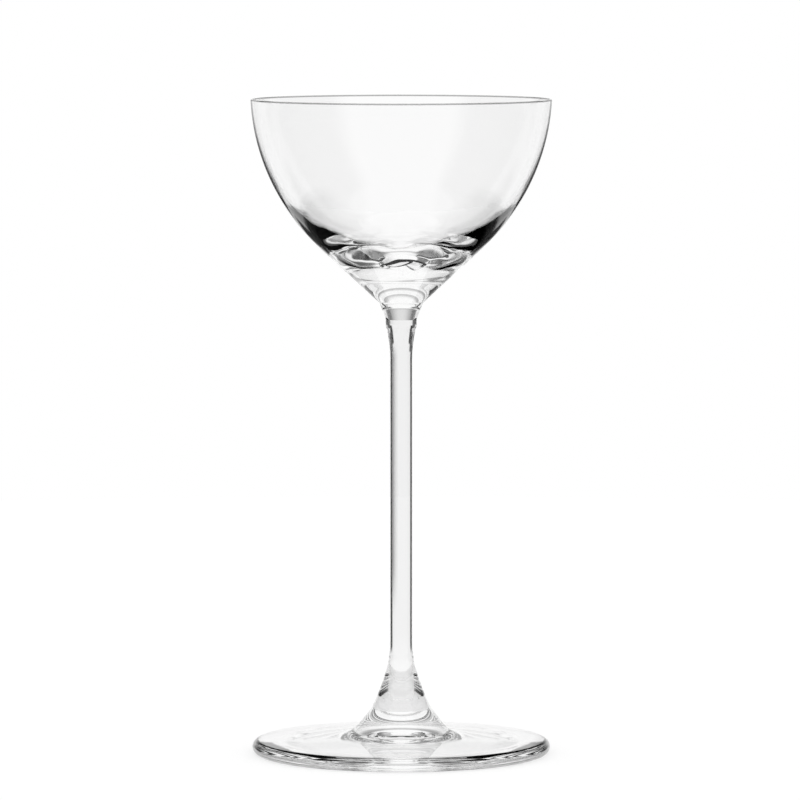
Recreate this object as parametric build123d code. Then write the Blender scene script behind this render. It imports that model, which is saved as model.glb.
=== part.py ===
from build123d import *

import math
import os

# A stemmed cocktail glass in clear crystal, in millimetres, standing on z = 0 around the Z axis.
# It is made from three gathers of hot glass, each turned to its own profile: a blown bowl with a
# heavy base, a drawn stem and a pressed foot. They are fused end to end on flat round welds.
# A profile is drawn as (radius, height). Its angles are degrees away from vertical.

# Whole glass
HEIGHT = 179.0  # table to the top of the rim
RIM_DIAMETER = 82.0  # widest point of the bowl, at the lip
STEM_DIAMETER = 6.0  # straight length of the stem
FOOT_DIAMETER = 81.5

# Bowl
BOWL_HEIGHT = 60.0  # rim down to the weld on the stem
RIM_WALL = 0.6  # wall at the lip, and the width of the fire-polished lip
RIM_LEAN = 3.0  # how far the wall leans in just under the lip
BELLY_RADIUS = 59.0  # outside curve of the belly, from the lip down to the straight cone
WALL_GROWTH = 5.0  # how much tighter the inside curve is, so that the wall thickens downwards
BOTTOM_ANGLE = 33.5  # lean of the wall where the inside starts its rounder bottom
NUB_HEIGHT = 4.5  # short taper below the cone, which the stem is fused to
NUB_ANGLE = 20.5
NUB_FILLET = 2.5  # soft inside corner between the cone and the nub

# Stem
BOWL_WELD_DIAMETER = 8.5
COLLAR_HEIGHT = 1.6  # straight band left where the stem was pressed onto the nub
TOP_FLARE_RADIUS = 37.0
FLARE_BLEND_RADIUS = 31.0  # first curve out of the straight stem, above the foot
FLARE_BLEND_ANGLE = 17.0
FLARE_TURN = 9.0  # further turn from the end of that curve down to the foot's weld

# Foot
FOOT_WELD_DIAMETER = 16.4
FOOT_WELD_HEIGHT = 12.3
BOSS_ANGLE = 38.5  # side of the raised boss under the stem
BOSS_FILLET = 8.4  # hollow curve from the boss onto the top of the foot
FOOT_SLOPE = 3.0  # fall of the top face towards the edge, away from horizontal
EDGE_THICKNESS = 3.8  # full round edge
STANDING_RING_WIDTH = 6.5  # flat ring that the glass stands on
KICK_HEIGHT = 2.5  # hollow under the foot, inside the standing ring
PONTIL_DIAMETER = 20.0  # polished dimple where the foot was broken off the glassmaker's rod
PONTIL_DEPTH = 2.5  # how far the dimple goes into the kick

BOWL_WELD_HEIGHT = HEIGHT - BOWL_HEIGHT
INSIDE_RADIUS = BELLY_RADIUS - WALL_GROWTH


def sine(angle):
    """Sine of an angle in degrees."""
    return math.sin(math.radians(angle))


def cosine(angle):
    """Cosine of an angle in degrees."""
    return math.cos(math.radians(angle))


def tangent(angle):
    """Tangent of an angle in degrees."""
    return math.tan(math.radians(angle))


def around(centre, radius, angle):
    """Point at a radius from a centre, at an angle turned up from the outward direction."""
    return (centre[0] + radius * cosine(angle), centre[1] + radius * sine(angle))


def turned(*curves):
    """Solid turned about the Z axis from the curves of a closed half profile."""
    edges = [edge for curve in curves for edge in curve.edges()]
    return revolve(Plane.XZ * make_face(edges), Axis.Z)


def lip_centre():
    """Middle of the round lip."""
    return (RIM_DIAMETER / 2 - RIM_WALL / 2, HEIGHT - RIM_WALL / 2)


def belly_centre():
    """Centre of the belly's outside curve."""
    return around(lip_centre(), BELLY_RADIUS - RIM_WALL / 2, 180 - RIM_LEAN)


def inside_centre():
    """Centre of the belly's inside curve."""
    return around(lip_centre(), INSIDE_RADIUS + RIM_WALL / 2, 180 - RIM_LEAN)


def bottom_circle():
    """Centre, on the axis, and radius of the rounder bottom inside the bowl.

    It shares a tangent with the belly's inside curve where the two meet.
    """
    belly = inside_centre()
    centre = (0, belly[1] + belly[0] * tangent(BOTTOM_ANGLE))
    return centre, INSIDE_RADIUS + belly[0] / cosine(BOTTOM_ANGLE)


def lowest_inside():
    """Lowest point inside the bowl, on top of the thick base."""
    centre, radius = bottom_circle()
    return (0, centre[1] - radius)


def inside_curves():
    """Inside of the bowl, from the lip down to the axis: the belly, then the rounder bottom."""
    belly = CenterArc(inside_centre(), INSIDE_RADIUS, -RIM_LEAN, RIM_LEAN - BOTTOM_ANGLE)
    bottom = CenterArc(*bottom_circle(), -BOTTOM_ANGLE, BOTTOM_ANGLE - 90)
    return [belly, bottom]


def outside_curves():
    """Outside of the bowl, from the lip down to the weld: the belly, a straight cone and the nub.

    The cone leaves the belly where a line up from the nub's shoulder just touches it.
    """
    centre = belly_centre()
    weld_edge = (BOWL_WELD_DIAMETER / 2, BOWL_WELD_HEIGHT)
    shoulder = (
        weld_edge[0] + NUB_HEIGHT * tangent(NUB_ANGLE),
        weld_edge[1] + NUB_HEIGHT,
    )
    across = shoulder[0] - centre[0]
    down = centre[1] - shoulder[1]
    cone_length = math.sqrt(across**2 + down**2 - BELLY_RADIUS**2)
    cone_angle = math.degrees(math.atan2(down, across) - math.atan2(cone_length, BELLY_RADIUS))
    belly = CenterArc(centre, BELLY_RADIUS, -RIM_LEAN, RIM_LEAN - cone_angle)
    base = FilletPolyline(
        around(centre, BELLY_RADIUS, -cone_angle), shoulder, weld_edge, radius=NUB_FILLET
    )
    return [belly, base]


def bowl():
    """Blown bowl: a thin round lip, a wall that thickens downwards, and a solid base and nub."""
    lip = CenterArc(lip_centre(), RIM_WALL / 2, -RIM_LEAN, 180)
    weld = Line((BOWL_WELD_DIAMETER / 2, BOWL_WELD_HEIGHT), (0, BOWL_WELD_HEIGHT))
    axis = Line((0, BOWL_WELD_HEIGHT), lowest_inside())
    return turned(lip, *outside_curves(), weld, axis, *inside_curves())


def drink():
    """Space inside the bowl up to the height where the lip starts to round over."""
    edge = around(inside_centre(), INSIDE_RADIUS, -RIM_LEAN)
    surface = Line(edge, (0, edge[1]))
    axis = Line((0, edge[1]), lowest_inside())
    return turned(surface, axis, *inside_curves())


def stem():
    """Drawn stem: a collar at the bowl, a quick taper to a straight rod and a long lower flare."""
    rod = STEM_DIAMETER / 2
    top_weld = BOWL_WELD_DIAMETER / 2
    foot_weld = FOOT_WELD_DIAMETER / 2
    weld_angle = FLARE_BLEND_ANGLE + FLARE_TURN

    collar_bottom = BOWL_WELD_HEIGHT - COLLAR_HEIGHT
    top_turn = math.degrees(math.acos(1 - (top_weld - rod) / TOP_FLARE_RADIUS))
    rod_top = collar_bottom - TOP_FLARE_RADIUS * sine(top_turn)
    top_centre = (rod + TOP_FLARE_RADIUS, rod_top)

    blend_spread = FLARE_BLEND_RADIUS * (1 - cosine(FLARE_BLEND_ANGLE))
    flare_radius = (foot_weld - rod - blend_spread) / (
        cosine(FLARE_BLEND_ANGLE) - cosine(weld_angle)
    )
    flare_centre = around((foot_weld, FOOT_WELD_HEIGHT), flare_radius, weld_angle)
    blend_end = around(flare_centre, flare_radius, 180 + FLARE_BLEND_ANGLE)
    blend_centre = around(blend_end, FLARE_BLEND_RADIUS, FLARE_BLEND_ANGLE)
    rod_bottom = blend_centre[1]

    return turned(
        Line((0, BOWL_WELD_HEIGHT), (top_weld, BOWL_WELD_HEIGHT)),
        Line((top_weld, BOWL_WELD_HEIGHT), (top_weld, collar_bottom)),
        CenterArc(top_centre, TOP_FLARE_RADIUS, 180 - top_turn, top_turn),
        Line((rod, rod_top), (rod, rod_bottom)),
        CenterArc(blend_centre, FLARE_BLEND_RADIUS, 180, FLARE_BLEND_ANGLE),
        CenterArc(flare_centre, flare_radius, 180 + FLARE_BLEND_ANGLE, FLARE_TURN),
        Line((foot_weld, FOOT_WELD_HEIGHT), (0, FOOT_WELD_HEIGHT)),
        Line((0, FOOT_WELD_HEIGHT), (0, BOWL_WELD_HEIGHT)),
    )


def dome(edge, height):
    """Centre, on the axis, and radius of a shallow dome that rises a height above its edge."""
    radius = (edge[0] ** 2 + height**2) / (2 * height)
    return (0, edge[1] + height - radius), radius


def dome_angle(reach, radius):
    """Angle at which a circle with its centre on the axis reaches a distance from the axis."""
    return math.degrees(math.acos(reach / radius))


def foot():
    """Pressed foot: a boss under the stem, a gently falling top, a round edge and a hollow kick.

    The kick has a shallow polished dimple in its middle.
    """
    weld = (FOOT_WELD_DIAMETER / 2, FOOT_WELD_HEIGHT)
    edge_radius = EDGE_THICKNESS / 2
    edge_centre = (FOOT_DIAMETER / 2 - edge_radius, edge_radius)
    edge_top = around(edge_centre, edge_radius, 90 - FOOT_SLOPE)

    # The boss and the top face are straight lines that cross at this corner, under the fillet.
    fall = tangent(FOOT_SLOPE)
    spread = tangent(BOSS_ANGLE)
    drop = weld[1] - edge_top[1] - edge_top[0] * fall
    corner_radius = (weld[0] + drop * spread) / (1 - fall * spread)
    corner = (corner_radius, edge_top[1] + (edge_top[0] - corner_radius) * fall)

    ring_inside = (edge_centre[0] - STANDING_RING_WIDTH, 0)
    kick_centre, kick_radius = dome(ring_inside, KICK_HEIGHT)
    kick_start = dome_angle(ring_inside[0], kick_radius)
    kick_end = dome_angle(PONTIL_DIAMETER / 2, kick_radius)
    pontil_edge = around(kick_centre, kick_radius, kick_end)
    pontil_centre, pontil_radius = dome(pontil_edge, PONTIL_DEPTH)
    pontil_start = dome_angle(pontil_edge[0], pontil_radius)

    return turned(
        Line((0, weld[1]), weld),
        FilletPolyline(weld, corner, edge_top, radius=BOSS_FILLET),
        CenterArc(edge_centre, edge_radius, 90 - FOOT_SLOPE, FOOT_SLOPE - 180),
        Line((edge_centre[0], 0), ring_inside),
        CenterArc(kick_centre, kick_radius, kick_start, kick_end - kick_start),
        CenterArc(pontil_centre, pontil_radius, pontil_start, 90 - pontil_start),
        Line((0, pontil_edge[1] + PONTIL_DEPTH), (0, weld[1])),
    )


os.makedirs("parts", exist_ok=True)
for name, solid in {"bowl": bowl(), "stem": stem(), "foot": foot()}.items():
    export_step(solid, f"parts/{name}.step")
    print(f"{name}: {solid.volume / 1000:.2f} cm3")
print(f"bowl holds {drink().volume / 1000:.0f} ml to the brim")
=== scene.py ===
"""Stemmed cocktail glass in clear crystal: its looks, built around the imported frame, in metres."""

import logging
import math
from abc import ABC, abstractmethod
from dataclasses import dataclass, field, replace
from enum import Enum
from typing import ClassVar

import bpy
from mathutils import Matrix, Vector, noise


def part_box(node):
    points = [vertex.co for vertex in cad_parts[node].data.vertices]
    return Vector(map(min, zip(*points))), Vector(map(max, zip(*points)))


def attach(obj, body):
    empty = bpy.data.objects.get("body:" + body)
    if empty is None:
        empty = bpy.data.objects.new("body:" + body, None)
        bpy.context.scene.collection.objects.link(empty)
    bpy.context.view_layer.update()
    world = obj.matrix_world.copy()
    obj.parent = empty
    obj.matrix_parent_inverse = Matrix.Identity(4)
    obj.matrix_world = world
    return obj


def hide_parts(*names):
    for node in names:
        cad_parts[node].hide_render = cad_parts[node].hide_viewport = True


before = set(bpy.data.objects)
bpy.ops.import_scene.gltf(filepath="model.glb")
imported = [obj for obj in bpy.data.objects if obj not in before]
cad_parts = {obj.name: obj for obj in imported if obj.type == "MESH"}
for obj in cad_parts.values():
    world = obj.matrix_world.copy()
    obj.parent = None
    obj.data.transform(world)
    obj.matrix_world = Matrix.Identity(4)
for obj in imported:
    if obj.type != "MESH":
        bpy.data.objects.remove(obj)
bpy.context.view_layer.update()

log = logging.getLogger("cocktail_glass")

Point = tuple[float, float]
Colour = tuple[float, float, float, float]

MM = 0.001
BODY = "root"

# Fineness of the meshes
SEGMENTS = 288
ARC_STEP = math.radians(1.0)
FEWEST_ARC_RUNS = 24
LIP_RUNS = 24
BEAD_RUNS = 2
BLEND_RUNS = 40
CARD_RUNS = 32
TABLE_SIDES = 128

# Grey of glass with no tint
CLEAR = 0.975


class Face(Enum):
    """Kinds of face on a turned piece, numbered as its material slots."""

    SKIN = 0
    WELD = 1
    LIP = 2


class Shade(Enum):
    """Grey of a studio card, from black velvet to pale felt."""

    BLACK = 0.004
    DARK = 0.06
    MID = 0.16
    PALE = 0.5


def around(centre: Point, radius: float, angle: float) -> Point:
    """Point at a radius from a centre.

    Args:
        centre: centre, as radius and height.
        radius: distance from it.
        angle: radians turned up from the outward direction.

    Returns:
        The point, as radius and height.
    """
    return centre[0] + radius * math.cos(angle), centre[1] + radius * math.sin(angle)


def dome(edge: Point, height: float) -> tuple[Point, float]:
    """Circle of a shallow dome over the axis.

    Args:
        edge: where the dome starts, as radius and height.
        height: how far it rises above that edge.

    Returns:
        The circle's centre, on the axis, and its radius.
    """
    radius = (edge[0] ** 2 + height**2) / (2 * height)
    return (0.0, edge[1] + height - radius), radius


@dataclass(frozen=True)
class Ripple:
    """Unevenness that hand-worked glass keeps on one part of its surface.

    It is full at its low height and fades out towards its high one. A finer, weaker ripple lies
    on top of it.
    """

    depth: float
    wavelength: float
    low: float
    high: float
    seed: float
    fine_share: float = 0.1
    fine_scale: float = 2.3

    def offset(self, at: Vector) -> float:
        """How far the surface stands proud at a point.

        Args:
            at: the point.

        Returns:
            Distance along the surface normal, in metres.
        """
        share = (self.high - at.z) / (self.high - self.low)
        if share <= 0:
            return 0.0
        fade = min(1.0, share) ** 2
        place = at / self.wavelength + Vector((self.seed, self.seed, self.seed))
        fine = noise.noise(place * self.fine_scale)
        return self.depth * fade * (noise.noise(place) + self.fine_share * fine)


@dataclass
class Profile:
    """Half outline of a turned piece, as (radius, height), drawn anticlockwise from axis to axis.

    Each run between two points has a kind of face: polished skin, the lip, or a weld inside the
    glass.
    """

    points: list[Point]
    faces: list[Face] = field(default_factory=list)
    ripple: Ripple | None = None
    ripple_start: int = 0

    def line(self, end: Point, face: Face = Face.SKIN, runs: int = 1) -> "Profile":
        """Draws a straight line from the last point.

        Args:
            end: where the line ends.
            face: kind of face that it turns into.
            runs: how many equal runs it is divided into.

        Returns:
            The profile itself, so that calls can follow each other.
        """
        start = self.points[-1]
        for run in range(1, runs + 1):
            share = run / runs
            self.points.append(
                (start[0] + (end[0] - start[0]) * share, start[1] + (end[1] - start[1]) * share)
            )
            self.faces.append(face)
        return self

    def arc(
        self,
        centre: Point,
        radius: float,
        start: float,
        sweep: float,
        face: Face = Face.SKIN,
        runs: int = 0,
    ) -> "Profile":
        """Draws an arc. It starts at the last point, which it doesn't repeat.

        Args:
            centre: centre of the arc.
            radius: its radius.
            start: angle of its first point, in radians turned up from the outward direction.
            sweep: angle that it turns through, anticlockwise if positive.
            face: kind of face that it turns into.
            runs: how many runs it is divided into, or 0 to follow its sweep.

        Returns:
            The profile itself.
        """
        runs = runs or max(FEWEST_ARC_RUNS, math.ceil(abs(sweep) / ARC_STEP))
        for run in range(1, runs + 1):
            self.points.append(around(centre, radius, start + sweep * run / runs))
            self.faces.append(face)
        return self

    def rounded(self, corner: Point, end: Point, radius: float, runs: int = 1) -> "Profile":
        """Draws two straight lines that meet at a rounded corner.

        Args:
            corner: where the two lines would cross.
            end: where the second line ends.
            radius: radius of the round.
            runs: how many equal runs each line is divided into.

        Returns:
            The profile itself.
        """
        at = Vector(corner)
        back = (Vector(self.points[-1]) - at).normalized()
        ahead = (Vector(end) - at).normalized()
        half = math.acos(max(-1.0, min(1.0, back.dot(ahead)))) / 2
        first = at + back * radius / math.tan(half)
        last = at + ahead * radius / math.tan(half)
        centre = at + (back + ahead).normalized() * radius / math.sin(half)
        start = math.atan2(first.y - centre.y, first.x - centre.x)
        stop = math.atan2(last.y - centre.y, last.x - centre.x)
        sweep = (stop - start + math.pi) % (2 * math.pi) - math.pi
        self.line(tuple(first), runs=runs)
        self.arc(tuple(centre), radius, start, sweep)
        return self.line(end, runs=runs)

    def blended(self, corner: Point, end: Point, reach: float, runs: int = 1) -> "Profile":
        """Draws two straight lines that meet in a soft curve, with no mark where it starts or ends.

        Args:
            corner: where the two lines would cross.
            end: where the second line ends.
            reach: how far the curve reaches from the corner along each line.
            runs: how many equal runs each line is divided into.

        Returns:
            The profile itself.
        """
        at = Vector(corner)
        first = at + (Vector(self.points[-1]) - at).normalized() * reach
        last = at + (Vector(end) - at).normalized() * reach
        self.line(tuple(first), runs=runs)
        for run in range(1, BLEND_RUNS + 1):
            share = run / BLEND_RUNS
            leaving, coming = (1 - share) ** 3, share**3
            self.line(tuple(first * leaving + last * coming + at * (1 - leaving - coming)))
        return self.line(end, runs=runs)

    def rippled(self, ripple: Ripple) -> "Profile":
        """Makes every point that is drawn from here on uneven.

        Args:
            ripple: the unevenness.

        Returns:
            The profile itself.
        """
        self.ripple = ripple
        self.ripple_start = len(self.points)
        return self

    def place(self, index: int, turn: float) -> Vector:
        """Where a point of the outline lies once it is turned about the axis.

        Args:
            index: which point.
            turn: angle about the axis, in radians.

        Returns:
            The place in space.
        """
        radius, height = self.points[index]
        at = Vector((radius * math.cos(turn), radius * math.sin(turn), height))
        if self.ripple and index >= self.ripple_start:
            before = self.points[max(0, index - 1)]
            after = self.points[min(len(self.points) - 1, index + 1)]
            run = Vector((after[0] - before[0], after[1] - before[1])).normalized()
            out = Vector((run.y * math.cos(turn), run.y * math.sin(turn), -run.x))
            at += out * self.ripple.offset(at)
        return at


def placed(name: str, mesh: bpy.types.Mesh) -> bpy.types.Object:
    """Puts a mesh into the scene.

    Args:
        name: name of the object.
        mesh: its mesh.

    Returns:
        The new object.
    """
    made = bpy.data.objects.new(name, mesh)
    bpy.context.scene.collection.objects.link(made)
    return made


def mark_weld_edges(mesh: bpy.types.Mesh) -> None:
    """Keeps the rim of each weld sharp, so that it doesn't bend the skin's normals.

    Args:
        mesh: mesh of a turned piece.
    """
    kinds_at: dict[tuple[int, int], set[int]] = {}
    for polygon in mesh.polygons:
        for key in polygon.edge_keys:
            kinds_at.setdefault(key, set()).add(polygon.material_index)
    for edge in mesh.edges:
        kinds = kinds_at[edge.key]
        edge.use_edge_sharp = len(kinds) > 1 and Face.WELD.value in kinds


def turned(name: str, profile: Profile) -> bpy.types.Object:
    """Turns a half outline about the Z axis into a closed mesh.

    Args:
        name: name of the piece.
        profile: its half outline, from axis to axis.

    Returns:
        The new object, in the scene.
    """
    vertices: list[Vector] = []
    rings: list[list[int]] = []
    last = len(profile.points) - 1
    for index in range(last + 1):
        count = 1 if index in (0, last) else SEGMENTS
        rings.append(list(range(len(vertices), len(vertices) + count)))
        for step in range(count):
            vertices.append(profile.place(index, 2 * math.pi * step / SEGMENTS))

    faces: list[tuple[int, ...]] = []
    kinds: list[int] = []
    for index, face in enumerate(profile.faces):
        lower, upper = rings[index], rings[index + 1]
        for step in range(SEGMENTS):
            after = (step + 1) % SEGMENTS
            if len(lower) == 1:
                faces.append((lower[0], upper[after], upper[step]))
            elif len(upper) == 1:
                faces.append((lower[step], lower[after], upper[0]))
            else:
                faces.append((lower[step], lower[after], upper[after], upper[step]))
            kinds.append(face.value)

    mesh = bpy.data.meshes.new(name)
    mesh.from_pydata(vertices, [], faces)
    mesh.polygons.foreach_set("material_index", kinds)
    mesh.shade_smooth()
    mark_weld_edges(mesh)
    mesh.update()
    return placed(name, mesh)


def grey(level: float) -> Colour:
    """Neutral colour of one level, from 0 to 1."""
    return level, level, level, 1.0


def soft_step(
    tree: bpy.types.NodeTree, value: bpy.types.NodeSocket, start: float, end: float
) -> bpy.types.NodeSocket:
    """Turns a value into a step from 0 to 1 that is soft at both ends.

    Args:
        tree: node tree that the value is in.
        value: output socket of the value.
        start: value at which the step starts.
        end: value at which it is complete.

    Returns:
        The output socket of the step.
    """
    step = tree.nodes.new("ShaderNodeMapRange")
    step.interpolation_type = "SMOOTHSTEP"
    step.inputs["From Min"].default_value = start
    step.inputs["From Max"].default_value = end
    tree.links.new(value, step.inputs["Value"])
    return step.outputs["Result"]


def combined(
    tree: bpy.types.NodeTree, operation: str, values: list[bpy.types.NodeSocket]
) -> bpy.types.NodeSocket:
    """Combines values one after the other.

    Args:
        tree: node tree that the values are in.
        operation: what is done with each new value and the result so far.
        values: output sockets of the values.

    Returns:
        The output socket of the result.
    """
    result = values[0]
    for value in values[1:]:
        both = tree.nodes.new("ShaderNodeMath")
        both.operation = operation
        tree.links.new(result, both.inputs[0])
        tree.links.new(value, both.inputs[1])
        result = both.outputs["Value"]
    return result


def polish_group() -> bpy.types.NodeTree:
    """Shared surface of fire-polished glass: slow waves, fine turning lines and a trace of haze.

    Returns:
        The node group, with inputs for the waves' size, the lines' size and strength, and the haze.
    """
    group = bpy.data.node_groups.new("fire_polish", "ShaderNodeTree")
    for name in ("Wave Scale", "Line Scale", "Line Share", "Haze"):
        group.interface.new_socket(name, in_out="INPUT", socket_type="NodeSocketFloat")
    for name in ("Height", "Roughness"):
        group.interface.new_socket(name, in_out="OUTPUT", socket_type="NodeSocketFloat")
    nodes, links = group.nodes, group.links
    given = nodes.new("NodeGroupInput")
    result = nodes.new("NodeGroupOutput")
    place = nodes.new("ShaderNodeTexCoord")

    waves = nodes.new("ShaderNodeTexNoise")
    waves.inputs["Detail"].default_value = 1.0
    links.new(place.outputs["Object"], waves.inputs["Vector"])
    links.new(given.outputs["Wave Scale"], waves.inputs["Scale"])

    # The lines change quickly with the height and slowly round the glass.
    stretch = nodes.new("ShaderNodeMapping")
    stretch.inputs["Scale"].default_value = (0.02, 0.02, 1.0)
    links.new(place.outputs["Object"], stretch.inputs["Vector"])
    lines = nodes.new("ShaderNodeTexNoise")
    lines.inputs["Detail"].default_value = 2.0
    links.new(stretch.outputs["Vector"], lines.inputs["Vector"])
    links.new(given.outputs["Line Scale"], lines.inputs["Scale"])

    weighted = nodes.new("ShaderNodeMath")
    weighted.operation = "MULTIPLY_ADD"
    links.new(lines.outputs["Fac"], weighted.inputs[0])
    links.new(given.outputs["Line Share"], weighted.inputs[1])
    links.new(waves.outputs["Fac"], weighted.inputs[2])
    links.new(weighted.outputs["Value"], result.inputs["Height"])

    haze = combined(group, "MULTIPLY", [waves.outputs["Fac"], given.outputs["Haze"]])
    links.new(haze, result.inputs["Roughness"])
    return group


@dataclass(frozen=True)
class Crystal:
    """Clear crystal, with the surface that one way of working leaves on it.

    The tint is a neutral grey. It may come in between two heights: below the first of them the
    glass is then clear.
    """

    name: str
    wave_scale: float
    line_scale: float
    line_share: float
    haze: float
    tint: float = CLEAR
    tint_rise: tuple[float, float] | None = None
    wave_height: float = 0.01 * MM
    ior: float = 1.52

    def material(self, polish: bpy.types.NodeTree) -> bpy.types.Material:
        """Builds the glass.

        Args:
            polish: the shared fire polish.

        Returns:
            The new material.
        """
        made = bpy.data.materials.new(self.name)
        made.use_nodes = True
        nodes, links = made.node_tree.nodes, made.node_tree.links
        glass = nodes["Principled BSDF"]
        glass.inputs["Base Color"].default_value = grey(self.tint)
        glass.inputs["Metallic"].default_value = 0.0
        glass.inputs["IOR"].default_value = self.ior
        glass.inputs["Transmission Weight"].default_value = 1.0
        surface = nodes.new("ShaderNodeGroup")
        surface.node_tree = polish
        surface.inputs["Wave Scale"].default_value = self.wave_scale
        surface.inputs["Line Scale"].default_value = self.line_scale
        surface.inputs["Line Share"].default_value = self.line_share
        surface.inputs["Haze"].default_value = self.haze
        bump = nodes.new("ShaderNodeBump")
        bump.inputs["Strength"].default_value = 1.0
        bump.inputs["Distance"].default_value = self.wave_height
        links.new(surface.outputs["Height"], bump.inputs["Height"])
        links.new(bump.outputs["Normal"], glass.inputs["Normal"])
        links.new(surface.outputs["Roughness"], glass.inputs["Roughness"])
        if self.tint_rise:
            self.grade(made.node_tree, *self.tint_rise)
        return made

    def grade(self, tree: bpy.types.NodeTree, start: float, full: float) -> None:
        """Lets the tint come in with the height.

        Args:
            tree: node tree of the glass.
            start: height below which it is clear.
            full: height above which it has the whole tint.
        """
        nodes, links = tree.nodes, tree.links
        place = nodes.new("ShaderNodeTexCoord")
        height = nodes.new("ShaderNodeSeparateXYZ")
        links.new(place.outputs["Object"], height.inputs["Vector"])
        blend = nodes.new("ShaderNodeMixRGB")
        blend.inputs["Color1"].default_value = grey(CLEAR)
        blend.inputs["Color2"].default_value = grey(self.tint)
        links.new(soft_step(tree, height.outputs["Z"], start, full), blend.inputs["Fac"])
        links.new(blend.outputs["Color"], nodes["Principled BSDF"].inputs["Base Color"])


BLOWN = Crystal("blown_crystal", wave_scale=35.0, line_scale=700.0, line_share=0.1, haze=0.004)
# Painted shade: the lip is a much darker grey glass than the rest, so that the rim draws as a grey
# line.
PAINTED_SHADE_LIP = replace(BLOWN, name="lip_crystal_painted_shade", tint=0.443)
# Painted shade: above 18 mm the stem's glass is greyer than the bowl's, so that the rod draws
# darker; below that the flare is clear.
DRAWN_WITH_PAINTED_SHADE = Crystal(
    "drawn_crystal_painted_shade",
    wave_scale=50.0,
    line_scale=900.0,
    line_share=0.1,
    haze=0.004,
    tint=0.868,
    tint_rise=(18 * MM, 34 * MM),
)
PRESSED = Crystal(
    "pressed_crystal", wave_scale=45.0, line_scale=600.0, line_share=0.05, haze=0.006, tint=0.99
)


@dataclass(frozen=True)
class FusedSeam:
    """The face of a weld, which light crosses without a trace because both sides are one glass."""

    name: str = "fused_seam"

    def material(self) -> bpy.types.Material:
        """Builds the see-through seam.

        Returns:
            The new material.
        """
        made = bpy.data.materials.new(self.name)
        made.use_nodes = True
        made.node_tree.nodes["Principled BSDF"].inputs["Alpha"].default_value = 0.0
        return made


class TurnedPiece(ABC):
    """One gather of the glass, turned to its profile, which stands for one CAD node."""

    node: ClassVar[str]
    finish: ClassVar[Crystal]

    @abstractmethod
    def profile(self) -> Profile:
        """Half outline of the piece, from axis to axis."""

    def build(self) -> bpy.types.Object:
        """Turns the piece's mesh."""
        return turned(f"crystal_{self.node}", self.profile())

    def dress(
        self,
        piece: bpy.types.Object,
        polish: bpy.types.NodeTree,
        seam: bpy.types.Material,
        lip: bpy.types.Material,
    ) -> None:
        """Gives the piece its glass and puts it in the place of its CAD node.

        Args:
            piece: the object that build made.
            polish: the shared fire polish.
            seam: material of its welds.
            lip: material of its lip, if it has one, a darker glass that is painted shade on the rim.
        """
        faces = {Face.SKIN: self.finish.material(polish), Face.WELD: seam, Face.LIP: lip}
        for kind in Face:
            piece.data.materials.append(faces[kind])
        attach(piece, BODY)
        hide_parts(self.node)
        log.info("%s stands for %s, with %d faces", piece.name, self.node, len(piece.data.polygons))


@dataclass
class Bowl(TurnedPiece):
    """Blown bowl: a thin round lip, a wall that thickens downwards, and a solid base and nub."""

    node: ClassVar[str] = "bowl"
    finish: ClassVar[Crystal] = BLOWN

    rim_radius: float
    rim_height: float
    weld_height: float
    wall: float = 0.6 * MM
    bead: float = 0.12 * MM
    lean: float = math.radians(3.0)
    belly_radius: float = 59.0 * MM
    wall_growth: float = 5.0 * MM
    bottom_angle: float = math.radians(33.5)
    weld_radius: float = 4.25 * MM
    nub_height: float = 4.5 * MM
    nub_angle: float = math.radians(20.5)
    nub_fillet: float = 2.5 * MM
    ripple_depth: float = 0.4 * MM
    ripple_wavelength: float = 8.0 * MM
    ripple_rise: float = 18.0 * MM
    ripple_seed: float = 3.7

    def cone_angle(self, centre: Point, shoulder: Point) -> float:
        """Finds where a line up from the nub's shoulder just touches the belly.

        Args:
            centre: centre of the belly's outside curve.
            shoulder: top of the nub.

        Returns:
            Angle of that place on the belly, in radians turned down from the outward direction.
        """
        across, down = shoulder[0] - centre[0], centre[1] - shoulder[1]
        length = math.sqrt(across**2 + down**2 - self.belly_radius**2)
        return math.atan2(down, across) - math.atan2(length, self.belly_radius)

    def profile(self) -> Profile:
        """Draws the bowl from its weld up the outside, over the lip and down the uneven inside.

        Returns:
            The half outline.
        """
        lip = (self.rim_radius - self.wall / 2, self.rim_height - self.wall / 2)
        centre = around(lip, self.belly_radius - self.wall / 2, math.pi - self.lean)
        weld = (self.weld_radius, self.weld_height)
        shoulder = (weld[0] + self.nub_height * math.tan(self.nub_angle), weld[1] + self.nub_height)
        cone = self.cone_angle(centre, shoulder)
        inside = self.belly_radius - self.wall_growth
        inner_centre = around(lip, inside + self.wall / 2, math.pi - self.lean)
        low_centre = (0.0, inner_centre[1] + inner_centre[0] * math.tan(self.bottom_angle))
        low_radius = inside + inner_centre[0] / math.cos(self.bottom_angle)
        bottom = low_centre[1] - low_radius
        ripple = Ripple(
            self.ripple_depth,
            self.ripple_wavelength,
            low=bottom,
            high=bottom + self.ripple_rise,
            seed=self.ripple_seed,
        )

        # The lip's darker glass, which is painted shade on the rim, reaches down both sides of the
        # wall by the height of the bead.
        bead = self.bead / self.belly_radius
        profile = Profile([(0.0, self.weld_height)]).line(weld, Face.WELD)
        profile.rounded(shoulder, around(centre, self.belly_radius, -cone), self.nub_fillet, runs=8)
        profile.arc(centre, self.belly_radius, -cone, cone - self.lean - bead)
        profile.arc(centre, self.belly_radius, -self.lean - bead, bead, Face.LIP, BEAD_RUNS)
        profile.arc(lip, self.wall / 2, -self.lean, math.pi, Face.LIP, LIP_RUNS)
        profile.arc(inner_centre, inside, -self.lean, -bead, Face.LIP, BEAD_RUNS)
        profile.rippled(ripple)
        profile.arc(inner_centre, inside, -self.lean - bead, bead + self.lean - self.bottom_angle)
        profile.arc(low_centre, low_radius, -self.bottom_angle, self.bottom_angle - math.pi / 2)
        profile.points[-1] = (0.0, bottom)
        return profile


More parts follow.
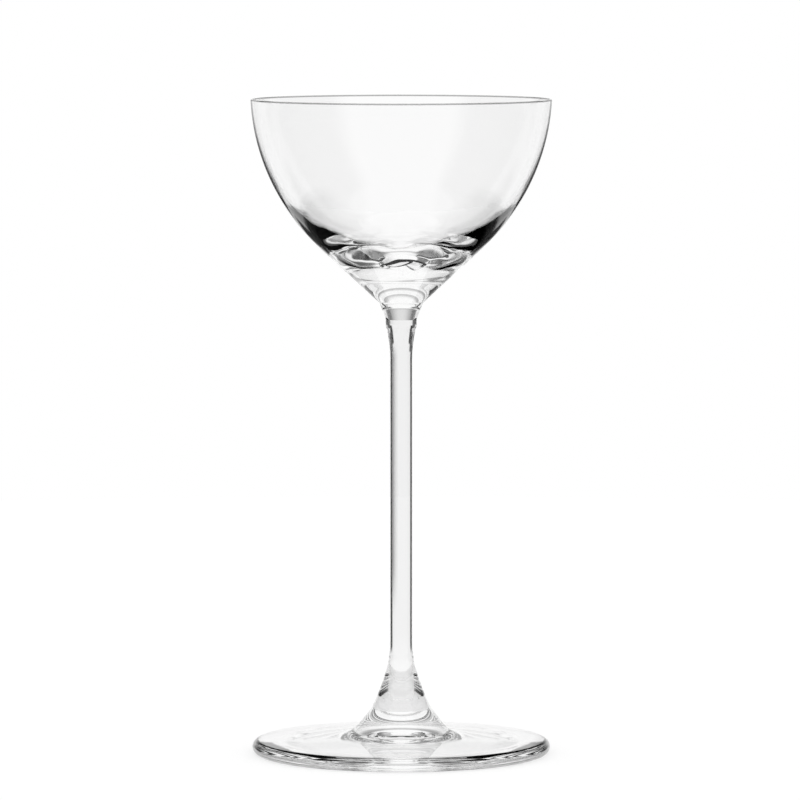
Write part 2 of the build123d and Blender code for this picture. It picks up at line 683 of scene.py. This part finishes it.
@dataclass
class Stem(TurnedPiece):
    """Drawn stem: a collar at the bowl, a quick taper to a straight rod and a long lower flare."""

    node: ClassVar[str] = "stem"
    # Its glass greys the rod with painted shade.
    finish: ClassVar[Crystal] = DRAWN_WITH_PAINTED_SHADE

    top: float
    bottom: float
    foot_weld: float
    rod: float = 3.0 * MM
    bowl_weld: float = 4.25 * MM
    collar: float = 1.6 * MM
    top_flare: float = 37.0 * MM
    blend_radius: float = 31.0 * MM
    blend_angle: float = math.radians(17.0)
    flare_turn: float = math.radians(9.0)

    def profile(self) -> Profile:
        """Draws the stem from the foot's weld up to the bowl's.

        Returns:
            The half outline.
        """
        weld_angle = self.blend_angle + self.flare_turn
        collar_bottom = self.top - self.collar
        top_turn = math.acos(1 - (self.bowl_weld - self.rod) / self.top_flare)
        rod_top = collar_bottom - self.top_flare * math.sin(top_turn)
        spread = self.blend_radius * (1 - math.cos(self.blend_angle))
        flare = (self.foot_weld - self.rod - spread) / (
            math.cos(self.blend_angle) - math.cos(weld_angle)
        )
        flare_centre = around((self.foot_weld, self.bottom), flare, weld_angle)
        blend_end = around(flare_centre, flare, math.pi + self.blend_angle)
        blend_centre = around(blend_end, self.blend_radius, self.blend_angle)
        top_centre = (self.rod + self.top_flare, rod_top)

        profile = Profile([(0.0, self.bottom)]).line((self.foot_weld, self.bottom), Face.WELD)
        profile.arc(flare_centre, flare, math.pi + weld_angle, -self.flare_turn)
        profile.arc(blend_centre, self.blend_radius, math.pi + self.blend_angle, -self.blend_angle)
        profile.line((self.rod, rod_top), runs=12)
        profile.arc(top_centre, self.top_flare, math.pi, -top_turn)
        profile.line((self.bowl_weld, self.top), runs=4)
        return profile.line((0.0, self.top), Face.WELD)


@dataclass
class Foot(TurnedPiece):
    """Pressed foot: a boss under the stem, a gently falling top, a round edge and a hollow kick.

    The kick has a shallow polished dimple in its middle.
    """

    node: ClassVar[str] = "foot"
    finish: ClassVar[Crystal] = PRESSED

    radius: float
    weld_height: float
    weld_radius: float
    edge: float = 1.9 * MM
    slope: float = math.radians(3.0)
    boss_angle: float = math.radians(38.5)
    boss_blend: float = 7.9 * MM
    ring_width: float = 6.5 * MM
    kick: float = 2.5 * MM
    pontil_radius: float = 10.0 * MM
    pontil_depth: float = 2.5 * MM

    def profile(self) -> Profile:
        """Draws the foot from the dimple out along the underside, round the edge and up the boss.

        Returns:
            The half outline.
        """
        weld = (self.weld_radius, self.weld_height)
        edge_centre = (self.radius - self.edge, self.edge)
        edge_top = around(edge_centre, self.edge, math.pi / 2 - self.slope)
        fall, spread = math.tan(self.slope), math.tan(self.boss_angle)
        drop = weld[1] - edge_top[1] - edge_top[0] * fall
        corner_radius = (weld[0] + drop * spread) / (1 - fall * spread)
        corner = (corner_radius, edge_top[1] + (edge_top[0] - corner_radius) * fall)
        ring_inside = (edge_centre[0] - self.ring_width, 0.0)
        kick_centre, kick_radius = dome(ring_inside, self.kick)
        kick_start = math.acos(ring_inside[0] / kick_radius)
        kick_end = math.acos(self.pontil_radius / kick_radius)
        pontil_edge = around(kick_centre, kick_radius, kick_end)
        pontil_centre, pontil_curve = dome(pontil_edge, self.pontil_depth)
        pontil_start = math.acos(pontil_edge[0] / pontil_curve)

        profile = Profile([(0.0, pontil_edge[1] + self.pontil_depth)])
        profile.arc(pontil_centre, pontil_curve, math.pi / 2, pontil_start - math.pi / 2)
        profile.arc(kick_centre, kick_radius, kick_end, kick_start - kick_end)
        profile.line((edge_centre[0], 0.0), runs=3)
        profile.arc(edge_centre, self.edge, -math.pi / 2, math.pi - self.slope)
        profile.blended(corner, weld, self.boss_blend, runs=10)
        return profile.line((0.0, self.weld_height), Face.WELD)


def matt(name: str, level: float) -> bpy.types.Material:
    """Plain matt material for the studio.

    Args:
        name: its name.
        level: its grey, from 0 to 1.

    Returns:
        The new material.
    """
    made = bpy.data.materials.new(name)
    made.use_nodes = True
    shader = made.node_tree.nodes["Principled BSDF"]
    shader.inputs["Base Color"].default_value = grey(level)
    shader.inputs["Roughness"].default_value = 1.0
    shader.inputs["Specular IOR Level"].default_value = 0.0
    return made


@dataclass(frozen=True)
class Fade:
    """How far a card thins out from each side, as shares of its width and of its height."""

    near: float
    far: float
    low: float
    high: float


@dataclass(frozen=True)
class Card:
    """Card that stands round the glass, out of the picture, and draws its edges.

    It runs from a near to a far bearing, in degrees that turn left from the line of sight. It
    thins out towards its sides, as a flag does that stands too close to be in focus.
    """

    name: str
    near: float
    far: float
    reach: float
    low: float
    high: float
    shade: Shade
    fade: Fade

    def pair(self) -> list["Card"]:
        """Stands the card on the left of the line of sight, and its mirror image on the right.

        Returns:
            The two cards, named for their sides.
        """
        left = replace(self, name=f"left_{self.name}")
        right = replace(self, name=f"right_{self.name}", near=-self.near, far=-self.far)
        return [left, right]

    def felt(self) -> bpy.types.Material:
        """Builds the card's felt, which thins out towards its sides.

        Returns:
            The new material.
        """
        made = matt(f"{self.name}_felt", self.shade.value)
        tree = made.node_tree
        place = tree.nodes.new("ShaderNodeUVMap")
        split = tree.nodes.new("ShaderNodeSeparateXYZ")
        tree.links.new(place.outputs["UV"], split.inputs["Vector"])
        across, up = split.outputs["X"], split.outputs["Y"]
        sides = [
            soft_step(tree, across, 0.0, self.fade.near),
            soft_step(tree, across, 1.0, 1.0 - self.fade.far),
            soft_step(tree, up, 0.0, self.fade.low),
            soft_step(tree, up, 1.0, 1.0 - self.fade.high),
        ]
        cover = combined(tree, "MULTIPLY", sides)
        tree.links.new(cover, tree.nodes["Principled BSDF"].inputs["Alpha"])
        return made

    def build(self, azimuth: float) -> bpy.types.Object:
        """Stands the card up as a strip that curves round the glass.

        Args:
            azimuth: turn of the line of sight about Z.

        Returns:
            The card's object.
        """
        near, far = math.radians(self.near), math.radians(self.far)
        corners = []
        for run in range(CARD_RUNS + 1):
            turn = azimuth + near + (far - near) * run / CARD_RUNS
            out = Vector((-math.sin(turn), math.cos(turn), 0.0)) * self.reach
            corners.append(out + Vector((0.0, 0.0, self.low)))
            corners.append(out + Vector((0.0, 0.0, self.high)))
        faces = [(2 * run, 2 * run + 2, 2 * run + 3, 2 * run + 1) for run in range(CARD_RUNS)]
        mesh = bpy.data.meshes.new(self.name)
        mesh.from_pydata(corners, [], faces)
        layer = mesh.uv_layers.new(name="across")
        for loop in mesh.loops:
            layer.data[loop.index].uv = (loop.vertex_index // 2 / CARD_RUNS, loop.vertex_index % 2)
        mesh.materials.append(self.felt())
        stand = placed(self.name, mesh)
        stand.visible_camera = False
        stand.visible_diffuse = False
        stand.visible_shadow = False
        return stand


def stem_cards() -> list[Card]:
    """Cards beside the stem, from above the foot to the bowl's nub.

    Returns:
        The cards.
    """
    flag_fade = Fade(near=0.06, far=0.4, low=0.1, high=0.1)
    collar_fade = Fade(near=0.06, far=0.3, low=0.2, high=0.25)
    cuff_fade = Fade(near=0.4, far=0.2, low=0.1, high=0.2)
    grey_fade = Fade(near=1.0, far=0.001, low=0.2, high=0.15)
    return [
        Card("left_flag", 40, 125, 60 * MM, 6 * MM, 118 * MM, Shade.DARK, flag_fade),
        Card("right_flag", -38, -125, 60 * MM, 6 * MM, 118 * MM, Shade.BLACK, flag_fade),
        *Card("collar", 40, 125, 62 * MM, 100 * MM, 124 * MM, Shade.MID, collar_fade).pair(),
        *Card("cuff", 28, 52, 62 * MM, 110 * MM, 134 * MM, Shade.MID, cuff_fade).pair(),
        Card("right_grey", -6, -44, 58 * MM, 30 * MM, 120 * MM, Shade.PALE, grey_fade),
    ]


def foot_cards() -> list[Card]:
    """Low cards on the table, beside the foot.

    Returns:
        The cards.
    """
    fade = Fade(near=0.2, far=0.15, low=0.05, high=0.5)
    return Card("low", 60, 148, 56 * MM, 0.4 * MM, 20 * MM, Shade.DARK, fade).pair()


def bowl_cards() -> list[Card]:
    """Cards beside the bowl and high above it on both sides, and far behind it.

    Returns:
        The cards.
    """
    edge_fade = Fade(near=0.3, far=0.3, low=0.05, high=0.8)
    roof_fade = Fade(near=0.3, far=0.25, low=0.1, high=0.25)
    back_fade = Fade(near=0.3, far=0.3, low=0.65, high=0.3)
    side_fade = Fade(near=0.65, far=0.2, low=0.35, high=0.3)
    return [
        *Card("edge", 24, 40, 0.12, 0.121, 0.21, Shade.DARK, edge_fade).pair(),
        *Card("roof", 42, 140, 0.6, 0.15, 1.2, Shade.MID, roof_fade).pair(),
        Card("top_card", -50, 50, 4.4, 1.0, 3.1, Shade.PALE, back_fade),
        *Card("top", 4, 60, 4.2, 1.09, 3.1, Shade.MID, side_fade).pair(),
    ]


@dataclass
class Studio:
    """White table and white surround, with the photograph's camera."""

    azimuth: float = math.radians(225.0)
    distance: float = 1.7152
    camera_height: float = 0.2311
    pitch: float = math.radians(4.472)
    lens: float = 283.77
    sideways: float = 0.33 * MM
    table_radius: float = 0.75
    table_gap: float = 0.05 * MM
    table_grey: float = 0.3
    table_glow: float = 0.72
    glass_bounces: int = 24
    mirror_bounces: int = 8
    see_through_layers: int = 32

    def sight(self) -> Vector:
        """Level direction that the camera looks in."""
        return Vector((-math.sin(self.azimuth), math.cos(self.azimuth), 0.0))

    def camera(self) -> None:
        """Places the camera at the photograph's height, distance and angle."""
        data = bpy.data.cameras.new("photo_camera")
        data.lens = self.lens
        camera = bpy.data.objects.new("photo_camera", data)
        bpy.context.scene.collection.objects.link(camera)
        sight = self.sight()
        right = Vector((sight.y, -sight.x, 0.0))
        camera.location = -sight * self.distance - right * self.sideways
        camera.location.z = self.camera_height
        look = sight * math.cos(self.pitch) - Vector((0.0, 0.0, math.sin(self.pitch)))
        camera.rotation_euler = look.to_track_quat("-Z", "Y").to_euler()
        bpy.context.scene.camera = camera

    def light_paths(self) -> None:
        """Lets light cross all the walls of the glass and all the thin sides of the cards."""
        cycles = bpy.context.scene.cycles
        cycles.max_bounces = self.glass_bounces
        cycles.transmission_bounces = self.glass_bounces
        cycles.glossy_bounces = self.mirror_bounces
        cycles.transparent_max_bounces = self.see_through_layers

    def surround(self) -> None:
        """Lights everything from an even white surround."""
        world = bpy.data.worlds.new("white_surround")
        world.use_nodes = True
        background = world.node_tree.nodes["Background"]
        background.inputs["Color"].default_value = grey(1.0)
        background.inputs["Strength"].default_value = 1.0
        bpy.context.scene.world = world

    def table_white(self) -> bpy.types.Material:
        """Builds the table's matt white, which keeps the glass's shadow.

        It glows where it is seen, so that a table in full light meets the white surround without
        a line.

        Returns:
            The new material.
        """
        made = matt("table_white", self.table_grey)
        tree = made.node_tree
        ray = tree.nodes.new("ShaderNodeLightPath")
        looks = ("Is Camera Ray", "Is Glossy Ray", "Is Transmission Ray")
        seen = combined(tree, "MAXIMUM", [ray.outputs[look] for look in looks])
        glow = tree.nodes.new("ShaderNodeMath")
        glow.operation = "MULTIPLY"
        glow.inputs[1].default_value = self.table_glow
        tree.links.new(seen, glow.inputs[0])
        shader = tree.nodes["Principled BSDF"]
        shader.inputs["Emission Color"].default_value = grey(1.0)
        tree.links.new(glow.outputs["Value"], shader.inputs["Emission Strength"])
        return made

    def table(self) -> None:
        """Lays the white table top just under the glass."""
        turns = [2 * math.pi * side / TABLE_SIDES for side in range(TABLE_SIDES)]
        rim = [
            (self.table_radius * math.cos(turn), self.table_radius * math.sin(turn), -self.table_gap)
            for turn in turns
        ]
        mesh = bpy.data.meshes.new("table_top")
        mesh.from_pydata(rim, [], [tuple(range(TABLE_SIDES))])
        mesh.materials.append(self.table_white())
        table = placed("table_top", mesh)

    def cards(self, cards: list[Card]) -> None:
        """Stands the cards round the glass.

        Args:
            cards: the cards.
        """
        for card in cards:
            card.build(self.azimuth)
            log.info("%s stands %.0f mm from the stem", card.name, card.reach / MM)


def main() -> None:
    """Builds the glass and its studio, piece by piece."""
    logging.basicConfig(level=logging.INFO, format="%(name)s: %(message)s")
    bpy.context.scene.view_settings.view_transform = "Standard"

    bowl_low, bowl_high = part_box("bowl")
    stem_low, stem_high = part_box("stem")
    _, foot_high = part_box("foot")
    bowl = Bowl(rim_radius=bowl_high.x, rim_height=bowl_high.z, weld_height=bowl_low.z)
    stem = Stem(top=stem_high.z, bottom=stem_low.z, foot_weld=stem_high.x)
    foot = Foot(radius=foot_high.x, weld_height=foot_high.z, weld_radius=stem_high.x)

    polish = polish_group()
    seam = FusedSeam().material()
    lip = PAINTED_SHADE_LIP.material(polish)
    for shape in (bowl, stem, foot):
        shape.dress(shape.build(), polish, seam, lip)

    studio = Studio()
    studio.light_paths()
    studio.surround()
    studio.table()
    studio.cards([*stem_cards(), *foot_cards(), *bowl_cards()])
    studio.camera()


if __name__ == "__main__":
    main()
